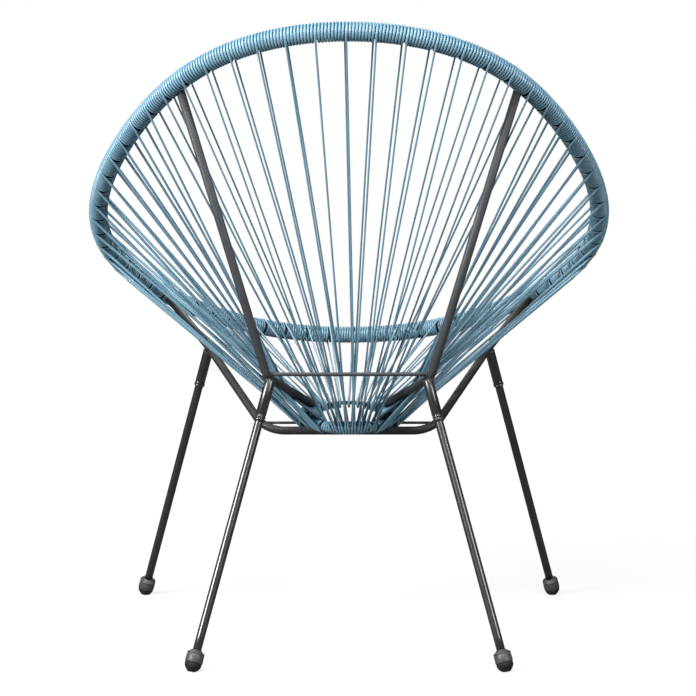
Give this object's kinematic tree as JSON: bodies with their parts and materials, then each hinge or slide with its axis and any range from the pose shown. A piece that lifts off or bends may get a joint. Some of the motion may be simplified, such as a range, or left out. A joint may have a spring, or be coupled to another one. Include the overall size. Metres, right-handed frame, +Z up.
{
  "type": "acapulco chair",
  "caption": "Low round patio chair: a cord seat strung between a wound steel hoop and a small ring, on a tube frame with four splayed legs.",
  "frame": {"origin": "on the floor under the middle of the chair's box", "axes": "+Z up; the seat faces -Y and its back is at +Y; +X is the sitter's left"},
  "size_m": [0.7466, 0.7677, 0.8654],
  "materials": {
    "steel": "dark charcoal powder coat with a soft sheen",
    "cord": "smooth dusty blue extruded plastic cord",
    "cap": "moulded charcoal grey plastic",
    "pad": "matt black rubber",
    "zinc": "bright zinc plate"
  },
  "bodies": {
    "root": {"hoop_tube": "steel", "ring_rod": "steel", "seat_cord_1": "cord", "seat_cord_2": "cord", "seat_cord_3": "cord", "seat_cord_4": "cord", "seat_cord_5": "cord", "seat_cord_6": "cord", "seat_cord_7": "cord", "seat_cord_8": "cord", "rear_upright_left": "steel", "rear_upright_right": "steel", "front_u_frame": "steel", "rear_cross_rod": "steel", "front_cross_rod": "steel", "socket_rear_left": "steel", "socket_nut_rear_left": "zinc", "leg_stud_rear_left": "zinc", "leg_rear_left": "steel", "foot_cap_rear_left": "cap", "foot_pad_rear_left": "pad", "socket_rear_right": "steel", "socket_nut_rear_right": "zinc", "leg_stud_rear_right": "zinc", "leg_rear_right": "steel", "foot_cap_rear_right": "cap", "foot_pad_rear_right": "pad", "socket_front_left": "steel", "socket_nut_front_left": "zinc", "leg_stud_front_left": "zinc", "leg_front_left": "steel", "foot_cap_front_left": "cap", "foot_pad_front_left": "pad", "socket_front_right": "steel", "socket_nut_front_right": "zinc", "leg_stud_front_right": "zinc", "leg_front_right": "steel", "foot_cap_front_right": "cap", "foot_pad_front_right": "pad"}
  },
  "joints": []
}
